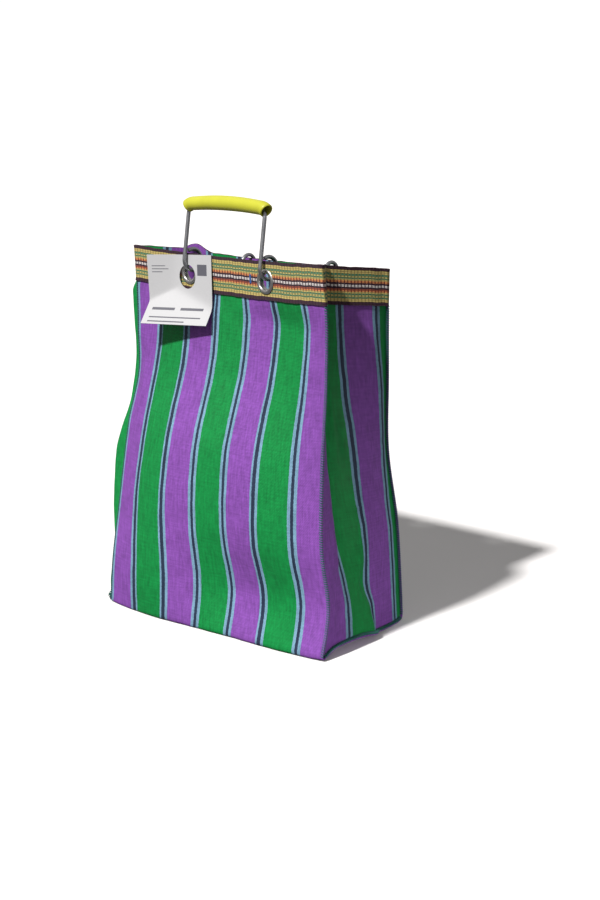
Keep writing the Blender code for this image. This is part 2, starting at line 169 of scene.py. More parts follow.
def cubic(t, width, values, slopes, i):
    """The cubic from knot i to knot i + 1, with t from 0 to 1."""
    start = (2 * t**3 - 3 * t**2 + 1) * values[i] + (t**3 - 2 * t**2 + t) * width * slopes[i]
    end = (3 * t**2 - 2 * t**3) * values[i + 1] + (t**3 - t**2) * width * slopes[i + 1]
    return start + end


def hermite(knots, values, places):
    """Smooth values through a table, without overshoot. values is (knots, ...), places any shape."""
    knots = np.asarray(knots, float)
    values = np.asarray(values, float)
    widths = np.diff(knots)
    rises = np.diff(values, axis=0) / widths.reshape(-1, *[1] * (values.ndim - 1))
    slopes = np.zeros_like(values)
    product = rises[:-1] * rises[1:]
    total = rises[:-1] + rises[1:]
    safe = np.where(np.abs(total) < 1e-12, 1.0, total)
    slopes[1:-1] = np.where(product > 0.0, 2.0 * product / safe, 0.0)
    slopes[0], slopes[-1] = rises[0], rises[-1]
    places = np.asarray(places, float)
    i = interval(knots, places)
    extra = (slice(None),) * places.ndim + (None,) * (values.ndim - 1)
    return cubic(((places - knots[i]) / widths[i])[extra], widths[i][extra], values, slopes, i)


def blend_stations(table, station):
    """The CAD source's own interpolation between stations (Catmull-Rom)."""
    knots = np.array([row[0] for row in table])
    values = np.array([np.hstack(row[1:]) for row in table])
    slopes = np.gradient(values, knots, axis=0)
    i = int(interval(knots, station))
    width = knots[i + 1] - knots[i]
    return cubic((station - knots[i]) / width, width, values, slopes, i)


def bump(place, centre, half_width):
    """A smooth hump of height 1 at centre that ends half_width away."""
    t = np.clip(np.abs(np.asarray(place, float) - centre) / half_width, 0.0, 1.0)
    return (1.0 - t * t) ** 2


# Length in metres, direction and phase of the waves that make the cloth uneven.
RIPPLES = ((0.061, 0.4, 1.1), (0.043, 1.3, 4.0), (0.037, 2.5, 2.2), (0.026, 0.9, 5.1), (0.021, 1.9, 0.6))


def ripple(x, y, seed):
    """Gentle unevenness from a few crossed waves, about -1 to 1; x and y in metres."""
    total = 0.0
    for n, (length, angle, phase) in enumerate(RIPPLES):
        along = x * math.cos(angle + seed) + y * math.sin(angle + seed)
        total = total + np.sin(2 * math.pi * along / length + phase * (seed + 1) + n)
    return total / len(RIPPLES)


def unit(rows):
    """Each row scaled to a length of 1."""
    return rows / np.linalg.norm(rows, axis=-1, keepdims=True)


def resample(places, knots, rows):
    """Straight-line values of each column at the places."""
    return np.column_stack([np.interp(places, knots, column) for column in rows.T])


def placed(points, matrix):
    matrix = np.array(matrix)
    return np.asarray(points) @ matrix[:3, :3].T + matrix[:3, 3]


def arc_lengths(points):
    steps = np.linalg.norm(np.diff(points, axis=0), axis=1)
    return np.concatenate([[0.0], np.cumsum(steps)])


# ---- the bag's shape ---------------------------------------------------------
# Second and third bow of the front at stations: an S-shaped and a three-humped wave, outwards.
FRONT_WAVES = (
    (0.00, 0.0015, 0.0015),
    (0.13, 0.0045, 0.0035),
    (0.29, 0.0015, 0.0040),
    (0.50, 0.0015, 0.0020),
    (0.71, 0.0033, 0.0005),
    (0.84, 0.0045, -0.0005),
    (0.905, 0.0, 0.0),
    (1.00, 0.0, 0.0),
)


def flat_normal(direction):
    """The horizontal unit vector to the left of a direction."""
    return np.array([-direction[1], direction[0]]) / np.hypot(*direction)


def wall_plan(side, station, along):
    """Plan points in the middle of the cloth of the front or the back, for an array of places along it."""
    flat = blend_stations(PLAN, station)
    bows = blend_stations(BOW, station)
    if side == "front":
        start, end, bow = flat[0:2], flat[2:4], -bows[0]
    else:
        start, end, bow = flat[6:8], flat[4:6], bows[1]
    along = np.asarray(along, float)[..., None]
    return start + (end - start) * along + flat_normal(end - start) * bow * 4.0 * along * (1.0 - along)


def rim_height(side, along):
    along = np.asarray(along, float)
    if side == "front":
        return RIM_FRONT - RIM_DIP * 4.0 * along * (1.0 - along)
    low = RIM_BACK_LEFT + (RIM_BACK_RIGHT - RIM_BACK_LEFT) * along
    peak = RIM_PEAK * bump(along, 0.075, 0.075)
    return low - RIM_DIP_BACK * 4.0 * along * (1.0 - along) + peak


def gusset_rim(side, share):
    """Rim height over a gusset, from its front seam to its back seam."""
    back = RIM_BACK_RIGHT if side == "right" else RIM_BACK_LEFT
    return RIM_FRONT + (back - RIM_FRONT) * np.asarray(share, float)


def wall_outward(side, station, along):
    step = 0.01
    ends = wall_plan(side, station, [along - step, along + step])
    normal = flat_normal(ends[1] - ends[0])
    return Vector((*(-normal if side == "front" else normal), 0.0))


def seam_start(side, panel, station):
    """Where a gusset's edge lies: inset from the panel's edge and set back inside the panel."""
    edge, inner = (1.0, 0.98) if side == "right" else (0.0, 0.02)
    corner, beside = wall_plan(panel, station, [edge, inner])
    behind = -np.array(wall_outward(panel, station, edge)[:2])
    return corner + unit(beside - corner) * SEAM_INSET + behind * SEAM_SETBACK


# Plan of the right gusset at heights above the floor, in millimetres. Each row is a height and then one
# point for each inner place in RIGHT_KNOTS, along the cloth from the front seam. The seams end the row.
RIGHT_KNOTS = (0.0, 18.0, 36.0, 45.0, 57.0, 70.0, 80.0, 90.0, 110.0, 130.0, 145.0)
RIGHT_PLAN = (
    (0, (140.5, -55), (143.0, -37.5), (144.0, -29), (145.5, -16), (147.5, -3), (148.5, 7),
     (144.0, 16), (142.0, 36), (141.0, 57)),
    (30, (140.0, -53), (138.5, -41), (139.5, -32.5), (141.0, -20.5), (142.0, -8), (142.5, 4.5),
     (140.0, 13), (140.0, 34), (139.5, 55)),
    (60, (138.0, -54), (136.0, -41), (135.5, -33.5), (135.0, -23), (134.5, -11.5), (134.5, -2.5),
     (131.5, 5), (136.0, 29), (138.0, 55)),
    (95, (136.5, -55), (133.0, -37), (128.5, -31.5), (127.5, -20), (131.0, -7), (134.0, 2.5),
     (135.0, 12), (136.0, 31), (136.5, 52)),
    (150, (132.5, -55.5), (126.0, -38.5), (119.5, -35.5), (117.0, -26), (122.0, -12.5), (129.0, 1),
     (131.5, 11), (133.0, 30), (132.5, 50.5)),
    (200, (130.0, -58), (122.0, -42), (114.5, -37.5), (111.0, -27), (115.0, -14), (123.5, -6),
     (127.5, 3), (131.0, 22), (131.5, 43)),
    (260, (131.0, -60), (121.0, -45), (115.0, -38), (109.0, -28), (107.0, -17), (112.5, -8),
     (117.0, 1.5), (123.5, 20), (130.5, 40)),
    (330, (130.0, -58), (120.0, -43), (115.0, -36), (109.0, -27), (104.0, -19), (107.0, -13),
     (110.5, -4.5), (117.5, 14), (126.0, 34)),
    (380, (129.0, -58), (119.0, -43), (114.0, -36), (108.0, -27), (103.5, -19), (106.5, -12.5),
     (110.0, -4), (117.5, 15), (125.0, 34)),
)
# How far the lower edge of a gusset is lifted off the floor, at places along it, in millimetres.
LIFT_KNOTS = (0.0, 6.0, 14.0, 22.0, 40.0, 60.0, 80.0, 92.0, 112.0, 130.0, 145.0)
LIFT = (0.8, 4.0, 9.0, 11.5, 12.0, 11.0, 7.0, 4.5, 2.0, 1.0, 0.8)
LIFT_REACH = 0.050             # the lift fades out over this height

# The left gusset bulges outwards beside the front seam, then folds inwards, deeper towards the rim:
# (height, bulge, fold) in millimetres.
LEFT_KNOTS = (0.0, 10.0, 18.0, 36.0, 54.0, 68.0, 77.0, 92.0, 112.0, 130.0, 145.0)
LEFT_SHARES = (0.0, 0.03, 0.12, 0.22, 0.36, 0.46, 0.52, 0.62, 0.76, 0.90, 1.0)
LEFT_BULGE = (0.0, -1.0, -0.9, 0.0, 0.0, 0.0, 0.0, 0.0, 0.0, 0.0, 0.0)
LEFT_FOLD = (0.0, 0.0, 0.0, 0.36, 0.74, 0.98, 1.0, 0.80, 0.46, 0.16, 0.0)
LEFT_SHAPE = (
    (0, 6.0, 6.0),
    (23, 8.0, 9.0),
    (58, 5.0, 14.0),
    (110, 14.5, 26.0),
    (163, 18.0, 34.0),
    (218, 8.0, 39.0),
    (270, 8.0, 42.0),
    (332, 10.5, 44.0),
    (350, 3.0, 44.0),
    (380, 0.6, 44.0),
)


def gusset_plan(side, station, places):
    """Plan points of a gusset at a station, for places from 0 at the front seam to 1 at the back seam."""
    front = seam_start(side, "front", station)
    back = seam_start(side, "back", station)
    height = station * RIM_FRONT / MM
    shape = RIGHT_PLAN if side == "right" else LEFT_SHAPE
    values = hermite([row[0] for row in shape], [row[1:] for row in shape], height) * MM
    if side == "right":
        knots = RIGHT_KNOTS
        points = np.vstack([front, values, back])
    else:
        knots = LEFT_KNOTS
        bulge, fold = values
        inwards = -flat_normal(back - front)
        depth = np.array(LEFT_BULGE) * bulge + np.array(LEFT_FOLD) * fold
        points = front + np.outer(LEFT_SHARES, back - front) + np.outer(depth, inwards)
    return hermite(np.array(knots) / knots[-1], points, places)


def gusset_lift(places):
    return hermite(np.array(LIFT_KNOTS) / LIFT_KNOTS[-1], np.array(LIFT) * MM, places)


# ---- mesh helpers ------------------------------------------------------------
def new_object(mesh, material):
    item = bpy.data.objects.new(mesh.name, mesh)
    bpy.context.scene.collection.objects.link(item)
    mesh.materials.append(material)
    return item


def new_mesh(name, points, faces):
    mesh = bpy.data.meshes.new(name)
    mesh.from_pydata(points, [], faces)
    return mesh


def smooth(mesh, sharp_degrees):
    """Smooth shading, except over edges sharper than the angle."""
    mesh.shade_smooth()
    mesh.set_sharp_from_angle(angle=math.radians(sharp_degrees))


def store(mesh, values):
    """Keeps a vector per point, its place on the cloth, for the materials."""
    attribute = mesh.attributes.new("cloth", "FLOAT_VECTOR", "POINT")
    attribute.data.foreach_set("vector", np.ascontiguousarray(values, np.float32).ravel())


def grid_normals(points, wrap):
    along = np.gradient(points, axis=0)
    if wrap:
        across = (np.roll(points, -1, axis=1) - np.roll(points, 1, axis=1)) / 2
    else:
        across = np.gradient(points, axis=1)
    normals = np.cross(across, along)
    return normals / np.maximum(np.linalg.norm(normals, axis=2, keepdims=True), 1e-12)


def solid_sheet(name, points, cloth, thickness, material, keep=None, wrap=False):
    """A closed sheet of even thickness over a grid of points in the middle of the cloth.

    Rows run along the first axis. The outer face is on the side of across x along. cloth is the place on the
    cloth of each point. keep says which quads there are; thickness may be one number or one per point.
    """
    rows, columns = points.shape[:2]
    normals = grid_normals(points, wrap)
    half = np.broadcast_to(np.asarray(thickness, float), (rows, columns))[..., None] / 2
    layers = np.stack([points + normals * half, points - normals * half])
    if keep is None:
        keep = np.ones((rows - 1, columns if wrap else columns - 1), bool)
    count = rows * columns
    faces = []
    edges = {}
    for r, c in zip(*np.nonzero(keep)):
        d = (c + 1) % columns
        here = int(r * columns)
        there = here + columns
        quad = (here + int(c), here + int(d), there + int(d), there + int(c))
        faces.append(quad)
        faces.append(tuple(v + count for v in reversed(quad)))
        for a, b in zip(quad, quad[1:] + quad[:1]):
            if (b, a) in edges:
                del edges[(b, a)]
            else:
                edges[(a, b)] = True
    faces += [(b, a, a + count, b + count) for a, b in edges]
    mesh = new_mesh(name, layers.reshape(-1, 3).tolist(), faces)
    place = np.tile(cloth.reshape(-1, 2), (2, 1))
    face_side = np.repeat([0.0, 1.0], count)[:, None]
    store(mesh, np.hstack([place, face_side]))
    used = np.zeros(2 * count, bool)
    used[np.unique(np.array([v for face in faces for v in face]))] = True
    if not used.all():
        drop_loose(mesh)
    mesh.validate()
    smooth(mesh, 50)
    return new_object(mesh, material)


def drop_loose(mesh):
    """Deletes the points that no face uses."""
    work = bmesh.new()
    work.from_mesh(mesh)
    loose = [v for v in work.verts if not v.link_faces]
    bmesh.ops.delete(work, geom=loose, context="VERTS")
    work.to_mesh(mesh)
    work.free()


def tube_frames(path):
    """Tangents of a path, and two directions across it that turn as little as they can."""
    tangents = unit(np.gradient(path, axis=0))
    guess = (0.0, 0.0, 1.0) if abs(tangents[0][2]) < 0.9 else (0.0, 1.0, 0.0)
    side = np.cross(tangents[0], guess)
    sides = []
    for tangent in tangents:
        side = unit(side - tangent * (side @ tangent))
        sides.append(side)
    return tangents, np.array(sides), np.cross(tangents, sides)


# Rings of a round cap, in quarter turns from its tip.
CAP_RINGS = np.array([0.25, 0.6, 0.9]) * math.pi / 2


def tube_rings(radii, inner):
    """Rings of a tube: the number of a path point, a radius, and how far it is pushed along the path."""
    last = len(radii) - 1
    rings = [(i, radii[i], 0.0) for i in range(last + 1)]
    if inner is None:
        caps = [(math.sin(a), 0.5 * math.cos(a)) for a in CAP_RINGS]
        start = [(0, radii[0] * wide, -radii[0] * push) for wide, push in caps]
        end = [(last, radii[last] * wide, radii[last] * push) for wide, push in reversed(caps)]
        return start + rings + end
    lip = (radii[0] - inner) / 2
    rings += [(last, radii[last] - lip, lip * 0.7), (last, inner, 0.0)]
    rings += [(i, inner, 0.0) for i in reversed(range(last))]
    return rings + [(0, radii[0] - lip, -lip * 0.7)]


def ring_faces(count, sides, closed):
    """Quads between rings of points, and from the last back to the first if the rings close."""
    faces = []
    for r in range(count if closed else count - 1):
        here = r * sides
        there = (r + 1) % count * sides
        for c in range(sides):
            d = (c + 1) % sides
            faces.append((here + c, here + d, there + d, there + c))
    return faces


def tube_mesh(name, path, radius, sides=16, inner=None):
    """A tube along a path, with round caps, or with a bore of radius inner.

    Its place on the cloth is (along, round, 0).
    """
    path = np.asarray(path, float)
    tangents, first, second = tube_frames(path)
    rings = tube_rings(np.broadcast_to(np.asarray(radius, float), len(path)), inner)
    angles = np.linspace(0.0, 2 * math.pi, sides, endpoint=False)
    points = [
        tuple(path[i] + tangents[i] * push + (first[i] * math.cos(a) + second[i] * math.sin(a)) * r)
        for i, r, push in rings
        for a in angles
    ]
    faces = ring_faces(len(rings), sides, inner is not None)
    if inner is None:
        faces.append(tuple(reversed(range(sides))))
        faces.append(tuple(range((len(rings) - 1) * sides, len(rings) * sides)))
    mesh = new_mesh(name, points, faces)
    along = np.repeat(arc_lengths(path)[[i for i, _, _ in rings]], sides)
    around = np.tile(angles / (2 * math.pi), len(rings))
    store(mesh, np.column_stack([along, around, np.zeros(len(around))]))
    smooth(mesh, 60)
    return mesh


def lathe_mesh(name, profile, matrix, steps=72):
    """A ring profile of (radius, height) points turned about Z and placed."""
    angles = np.linspace(0.0, 2 * math.pi, steps, endpoint=False)
    points = [matrix @ Vector((r * math.cos(a), r * math.sin(a), h)) for a in angles for r, h in profile]
    faces = [(a, d, c, b) for a, b, c, d in ring_faces(steps, len(profile), True)]
    mesh = new_mesh(name, [tuple(p) for p in points], faces)
    smooth(mesh, 45)
    return mesh


# ---- material helper ---------------------------------------------------------
class Graph:
    """A material's node tree by short calls.

    A value may be a number, a vector, a colour or a node's output.
    """

    def __init__(self, name, roughness, metallic=0.0, specular=0.5, sheen=0.0):
        self.material = bpy.data.materials.new(name)
        self.material.use_nodes = True
        self.tree = self.material.node_tree
        self.shader = self.tree.nodes["Principled BSDF"]
        self.shader.inputs["Roughness"].default_value = roughness
        self.shader.inputs["Metallic"].default_value = metallic
        self.shader.inputs["Specular IOR Level"].default_value = specular
        self.shader.inputs["Sheen Weight"].default_value = sheen

    def set(self, socket, value):
        if isinstance(value, bpy.types.NodeSocket):
            self.tree.links.new(value, socket)
        elif isinstance(value, tuple) and socket.type == "RGBA":
            socket.default_value = (*value[:3], 1.0)
        else:
            socket.default_value = value

    def node(self, kind, values=(), **settings):
        made = self.tree.nodes.new(kind)
        for key, value in settings.items():
            setattr(made, key, value)
        for key, value in dict(values).items():
            self.set(made.inputs[key], value)
        return made

    def math(self, operation, a, b=0.0, c=0.0):
        return self.node("ShaderNodeMath", {0: a, 1: b, 2: c}, operation=operation).outputs[0]

    def place(self):
        """The 'cloth' attribute's three numbers."""
        source = self.node("ShaderNodeAttribute", attribute_name="cloth")
        return self.node("ShaderNodeSeparateXYZ", {0: source.outputs["Vector"]}).outputs

    def vector(self, x, y, z=0.0):
        return self.node("ShaderNodeCombineXYZ", {0: x, 1: y, 2: z}).outputs[0]

    def noise(self, vector, scale, detail=2.0, roughness=0.5):
        values = {"Vector": vector, "Scale": scale, "Detail": detail, "Roughness": roughness}
        return self.node("ShaderNodeTexNoise", values).outputs[0]

    def range(self, value, low, high, new_low, new_high):
        values = {0: value, 1: low, 2: high, 3: new_low, 4: new_high}
        return self.node("ShaderNodeMapRange", values, interpolation_type="SMOOTHSTEP").outputs[0]

    def stretched(self, x, y, x_scale, y_scale):
        """A place for a texture, with a scale of its own each way."""
        return self.vector(self.math("MULTIPLY", x, x_scale), self.math("MULTIPLY", y, y_scale))

    def wave(self, value, length):
        """A sine of the given length, from 0 to 1."""
        turned = self.math("SINE", self.math("MULTIPLY", value, 2 * math.pi / length))
        return self.math("MULTIPLY_ADD", turned, 0.5, 0.5)

    def vary(self, value, amount, base):
        """The base, moved up or down by a value that runs from 0 to 1."""
        return self.math("MULTIPLY_ADD", self.math("SUBTRACT", value, 0.5), amount, base)

    def bands(self, value, stops):
        """Hard-edged bands of colour: (start from 0 to 1, colour)."""
        made = self.node("ShaderNodeValToRGB", {0: value})
        ramp = made.color_ramp
        ramp.interpolation = "CONSTANT"
        while len(ramp.elements) < len(stops):
            ramp.elements.new(1.0)
        for element, (start, colour) in zip(ramp.elements, stops):
            element.position = start
            element.color = (*colour, 1.0)
        return made.outputs[0]

    def mix(self, factor, a, b, blend="MIX"):
        values = {0: factor, 6: a, 7: b}
        return self.node("ShaderNodeMix", values, data_type="RGBA", blend_type=blend).outputs[2]

    def colour(self, value):
        self.set(self.shader.inputs["Base Color"], value)

    def tinted(self, colour, shade):
        """The surface's colour, made lighter or darker by a shade round 1."""
        self.colour(self.mix(1.0, colour, shade, "MULTIPLY"))

    def rough(self, value):
        self.set(self.shader.inputs["Roughness"], value)

    def bump(self, height, distance, strength=1.0):
        made = self.node("ShaderNodeBump", {"Height": height, "Distance": distance, "Strength": strength})
        self.set(self.shader.inputs["Normal"], made.outputs[0])


# ---- materials ---------------------------------------------------------------
def stripe_stops(lines, width, fields, painted_shade_scale):
    """Fields of two colours in turn, split by lines of light blue, navy and light blue; the last argument
    scales every colour down as painted shade.
    """
    edges = []
    if lines[0] > 0:
        edges = [(0.0, fields[0])]
        fields = fields[::-1]
    for n, line in enumerate(lines):
        edges += [
            (line - LINE_HALF - EDGE_WIDTH, LIGHT_BLUE),
            (line - LINE_HALF, NAVY),
            (line + LINE_HALF, LIGHT_BLUE),
            (line + LINE_HALF + EDGE_WIDTH, fields[n % 2]),
        ]
    kept = [(start, colour) for start, colour in edges if start < width]
    while len(kept) > 1 and kept[1][0] <= 0.0:
        kept.pop(0)
    return [(max(start, 0.0) / width, tuple(c * painted_shade_scale for c in colour)) for start, colour in kept]


def woven_material(name, lines, width, fields=(PURPLE, GREEN), painted_shade_scale=1.0):
    """Striped plastic weave: fine diagonal ribs, uneven flat yarns, and broad patches of painted light and
    shade that stand in for faint creases.
    """
    g = Graph(name, roughness=0.5, specular=0.20)
    across, along, _ = g.place()
    wobble = g.noise(g.stretched(across, along, 90.0, 420.0), 1.0)
    place = g.math("DIVIDE", g.vary(wobble, 0.0011, across), width * MM)
    stripes = g.bands(place, stripe_stops(lines, width, fields, painted_shade_scale))

    yarns = g.noise(g.stretched(across, along, 430.0, 60.0), 1.0, detail=3.0, roughness=0.65)
    wefts = g.noise(g.stretched(across, along, 60.0, 560.0), 1.0, detail=2.0, roughness=0.6)
    # Broad patches that lighten and darken the colour: painted light and shade for faint creases.
    painted_crease_patches = g.noise(g.vector(across, along), 26.0, detail=3.0)
    twill = g.wave(g.math("MULTIPLY_ADD", along, 0.72, across), 0.0019)
    steps = g.wave(along, 0.00125)
    weave = g.math("MULTIPLY", g.math("ADD", twill, steps), 0.5)

    shade = 1.0
    for value, amount in ((yarns, 1.05), (wefts, 0.60), (painted_crease_patches, 0.25), (weave, 0.38)):
        shade = g.vary(value, amount, shade)
    g.tinted(stripes, shade)
    g.rough(g.math("MULTIPLY_ADD", yarns, 0.25, 0.40))
    height = g.math("MULTIPLY_ADD", yarns, 0.6, weave)
    g.bump(height, 0.00022, 0.7)
    return g.material


def tape_material():
    """Woven ribbon: rows of colour, dashed across the ribs, with fine cross ribs and painted shade in the
    gaps between the ribs.
    """
    g = Graph("rim_tape_weave", roughness=0.8, specular=0.2, sheen=0.1)
    along, depth, _ = g.place()
    ends = np.cumsum([0.0] + [row[0] for row in TAPE_ROWS])
    starts = ends / ends[-1]
    rough_edge = g.noise(g.stretched(along, depth, 900.0, 300.0), 1.0)
    level = g.math("DIVIDE", g.vary(rough_edge, 0.0010, depth), TAPE_HEIGHT)
    on_rib = g.bands(level, [(start, row[1]) for start, row in zip(starts, TAPE_ROWS)])
    off_rib = g.bands(level, [(start, row[2]) for start, row in zip(starts, TAPE_ROWS)])
    dash = g.range(g.wave(along, TAPE_RIB), 0.22, 0.40, 0.0, 1.0)
    colour = g.mix(dash, off_rib, on_rib)
    fine = g.wave(along, 0.0012)
    cords = g.wave(depth, 0.0019)
    fibre = g.noise(g.stretched(along, depth, 700.0, 500.0), 1.0, 2.0, 0.6)
    # The gaps between the ribs darken the colour to half: painted shade in the recesses, also used as their
    # depth in the bump.
    rib_gaps_shade_and_depth = g.range(g.wave(along, TAPE_RIB), 0.02, 0.34, 0.50, 1.0)
    shade = g.vary(fine, 0.18, g.vary(fibre, 0.7, 1.0))
    g.tinted(colour, g.math("MULTIPLY", shade, rib_gaps_shade_and_depth))
    ribs = g.math("MULTIPLY_ADD", fibre, 0.5, g.math("ADD", fine, rib_gaps_shade_and_depth))
    g.bump(g.math("MULTIPLY_ADD", cords, 0.8, ribs), 0.00025, 0.8)
    return g.material


def thread_material(name, colour):
    """Twisted thread: turned plies and a little fuzz."""
    g = Graph(name, roughness=0.7, specular=0.25, sheen=0.15)
    along, around, _ = g.place()
    turned = g.math("MULTIPLY_ADD", around, 0.0016, along)
    plies = g.wave(turned, 0.0008)
    fuzz = g.noise(g.vector(g.math("MULTIPLY", along, 900.0), around), 1.0)
    g.tinted(colour, g.math("MULTIPLY_ADD", g.math("ADD", plies, fuzz), 0.45, 0.55))
    g.bump(plies, 0.00010, 0.6)
    return g.material


def metal_material(name, colour, roughness, spots):
    """Plated metal: cloudy shine and small dull spots."""
    g = Graph(name, roughness=roughness, metallic=1.0)
    where = g.node("ShaderNodeTexCoord").outputs["Object"]
    cloud = g.noise(where, 140.0, 3.0)
    speck = g.noise(where, 900.0, 2.0, 0.7)
    dull = g.range(speck, 0.58, 0.70, 0.0, spots)
    g.tinted(colour, g.math("SUBTRACT", g.math("MULTIPLY_ADD", cloud, 0.35, 0.85), dull))
    clouded = g.math("MULTIPLY_ADD", cloud, 0.20, roughness - 0.10)
    g.rough(g.math("ADD", clouded, g.math("MULTIPLY", dull, 0.5)))
    g.bump(speck, 0.00004, 0.5)
    return g.material


def vinyl_material():
    """Soft vinyl sleeve: smooth, a little mottled, with faint drawn lines along it."""
    g = Graph("yellow_vinyl_sleeve", roughness=0.38, specular=0.45)
    along, around, _ = g.place()
    where = g.node("ShaderNodeTexCoord").outputs["Object"]
    mottle = g.noise(where, 60.0, 3.0)
    lines = g.noise(g.stretched(along, around, 40.0, 60.0), 1.0)
    g.tinted(VINYL_YELLOW, g.vary(mottle, 0.22, 1.0))
    g.rough(g.math("MULTIPLY_ADD", lines, 0.18, 0.30))
    g.bump(lines, 0.00008, 0.5)
    return g.material


# Plain marks printed on the card, in millimetres from the hole's top: left, right, bottom, top.
CARD_MARKS = (
    (-40.0, -27.0, -3.2, -2.4),
    (-40.0, -24.0, -6.2, -5.4),
    (-40.0, -30.0, -9.2, -8.4),
    (15.0, 29.0, -12.0, -1.0),
    (-37.0, -9.0, -46.5, -44.0),
    (-2.0, 26.0, -46.5, -44.0),
    (-37.0, 26.0, -54.0, -52.8),
    (-37.0, 8.0, -58.0, -56.8),
)


def card_material():
    """White coated card with a few plain printed bars on its outer face."""
    g = Graph("white_card_stock", roughness=0.5, specular=0.4)
    x, y, side = g.place()
    grain = g.noise(g.stretched(x, y, 500.0, 500.0), 1.0, 3.0)
    ink = 0.0
    for left, right, bottom, top in CARD_MARKS:
        wide = g.math("COMPARE", x, (left + right) / 2 * MM, (right - left) / 2 * MM)
        tall = g.math("COMPARE", y, (bottom + top) / 2 * MM, (top - bottom) / 2 * MM)
        ink = g.math("MAXIMUM", ink, g.math("MULTIPLY", wide, tall))
    ink = g.math("MULTIPLY", g.math("LESS_THAN", side, 0.5), ink)
    paper = g.mix(1.0, CARD_WHITE, g.math("MULTIPLY_ADD", grain, 0.06, 0.94), "MULTIPLY")
    g.colour(g.mix(ink, paper, INK))
    g.bump(grain, 0.00004, 0.4)
    return g.material


def floor_material():
    """White paper to look at, which throws less light back at the bag."""
    g = Graph("pale_floor", roughness=0.9, specular=0.0)
    where = g.node("ShaderNodeTexCoord").outputs["Object"]
    seen = g.node("ShaderNodeLightPath").outputs["Is Camera Ray"]
    paper = g.mix(seen, FLOOR_BOUNCE, FLOOR_SEEN)
    g.tinted(paper, g.math("MULTIPLY_ADD", g.noise(where, 9.0), 0.02, 0.98))
    return g.material


# ---- cloth panels ------------------------------------------------------------
PANEL_COLUMNS = 124
WALL_ROWS = 156
BASE_ROWS = 58
GUSSET_COLUMNS = 72
VISIBLE_THICK = 0.0008
BASE_LIFT = 0.0018
BASE_MARGIN = 0.0016            # the base reaches this far beyond the gussets
LIFT_SPREAD = 0.030            # the base is lifted within this of its side edges
PANEL_CREASE = 0.00045         # depth of the fine creases
GUSSET_CREASE = 0.0006
PANEL_HOLE = 0.0096            # radius of the openings for the eyelets, and size of a quad there
PANEL_QUAD = 0.0024
TUCK = 0.0018                  # the cloth is narrower by this on each side under the tape
PINCH = 0.0050                 # the front's left edge is drawn in here
PINCH_HEIGHT = 0.245
PINCH_REACH = 0.052
PINCH_WIDTH = 0.020


def pinch_shift(height, distance):
    """How far the cloth is drawn inwards near the front left seam."""
    near = bump(np.abs(distance), 0.0, PINCH_WIDTH)
    return PINCH * bump(height, PINCH_HEIGHT, PINCH_REACH) * near


def panel_row(side, station, along):
    """Points in the middle of the cloth across the front or the back at a station."""
    along = np.asarray(along, float)
    plan = wall_plan(side, station, along)
    if side == "front":
        second, third = hermite([row[0] for row in FRONT_WAVES], [row[1:] for row in FRONT_WAVES], station)
        out = np.array(wall_outward("front", station, 0.5)[:2])
        wave = second * np.sin(2 * math.pi * along) + third * np.sin(3 * math.pi * along)
        plan = plan + out * wave[:, None]
        plan[:, 1] += pinch_shift(station * RIM_FRONT, along * CLOTH_WIDTH)
    heights = PANEL_THICK / 2 + station * (rim_height(side, along) - PANEL_THICK / 2)
    return np.column_stack([plan, heights])


def gusset_row(side, station, places):
    """Points in the middle of the cloth across a gusset, from the front seam to the back seam."""
    plan = gusset_plan(side, station, places)
    level = BASE_LIFT + station * (gusset_rim(side, places) - BASE_LIFT)
    if side == "left":
        plan[:, 1] += pinch_shift(level, places * GUSSET_WIDTH)
    fade = np.clip(1.0 - level / LIFT_REACH, 0.0, 1.0) ** 2
    return np.column_stack([plan, level + gusset_lift(places) * fade])


def base_edge(side, shares):
    """The base's edge under a gusset, with its lift. shares run from 0 at the front to 1 at the back."""
    even = np.linspace(0.0, 1.0, 81)
    edge = gusset_row(side, 0.0, even)
    course = np.gradient(edge, axis=0)
    out = unit(np.column_stack([course[:, 1], -course[:, 0]])) * (1.0 if side == "right" else -1.0)
    edge[:, :2] += out * BASE_MARGIN
    edge[:, 2] += PANEL_THICK / 2 - BASE_LIFT
    u = np.array([1.0 if side == "right" else 0.0])
    edge += np.outer(1.0 - even, panel_row("front", 0.0, u)[0] - edge[0])
    edge += np.outer(even, panel_row("back", 0.0, u)[0] - edge[-1])
    return resample(shares, even, edge)


def base_rows(along, shares):
    """The base between the four bottom edges; shares run from the back (1) to the front (0)."""
    front = panel_row("front", 0.0, along)
    back = panel_row("back", 0.0, along)
    left = base_edge("left", shares)
    right = base_edge("right", shares)
    u = along[None, :, None]
    q = shares[:, None, None]
    corners = (1 - u) * ((1 - q) * front[0] + q * back[0]) + u * ((1 - q) * front[-1] + q * back[-1])
    sheet = (1 - q) * front + q * back + (1 - u) * left[:, None] + u * right[:, None] - corners
    # The lift stays near the two side edges.
    near_left = np.clip(1.0 - along * CLOTH_WIDTH / LIFT_SPREAD, 0.0, 1.0) ** 2
    near_right = np.clip(1.0 - (1.0 - along) * CLOTH_WIDTH / LIFT_SPREAD, 0.0, 1.0) ** 2
    lift = left[:, None, 2] * near_left + right[:, None, 2] * near_right
    sheet[..., 2] = np.maximum(lift, PANEL_THICK / 2)
    return sheet


def soften(points, rows, passes):
    """Rounds a fold that runs along the given rows of a grid."""
    for _ in range(passes):
        middle = (points[rows - 1] + points[rows + 1]) / 2
        points[rows] = points[rows] * 0.5 + middle * 0.5


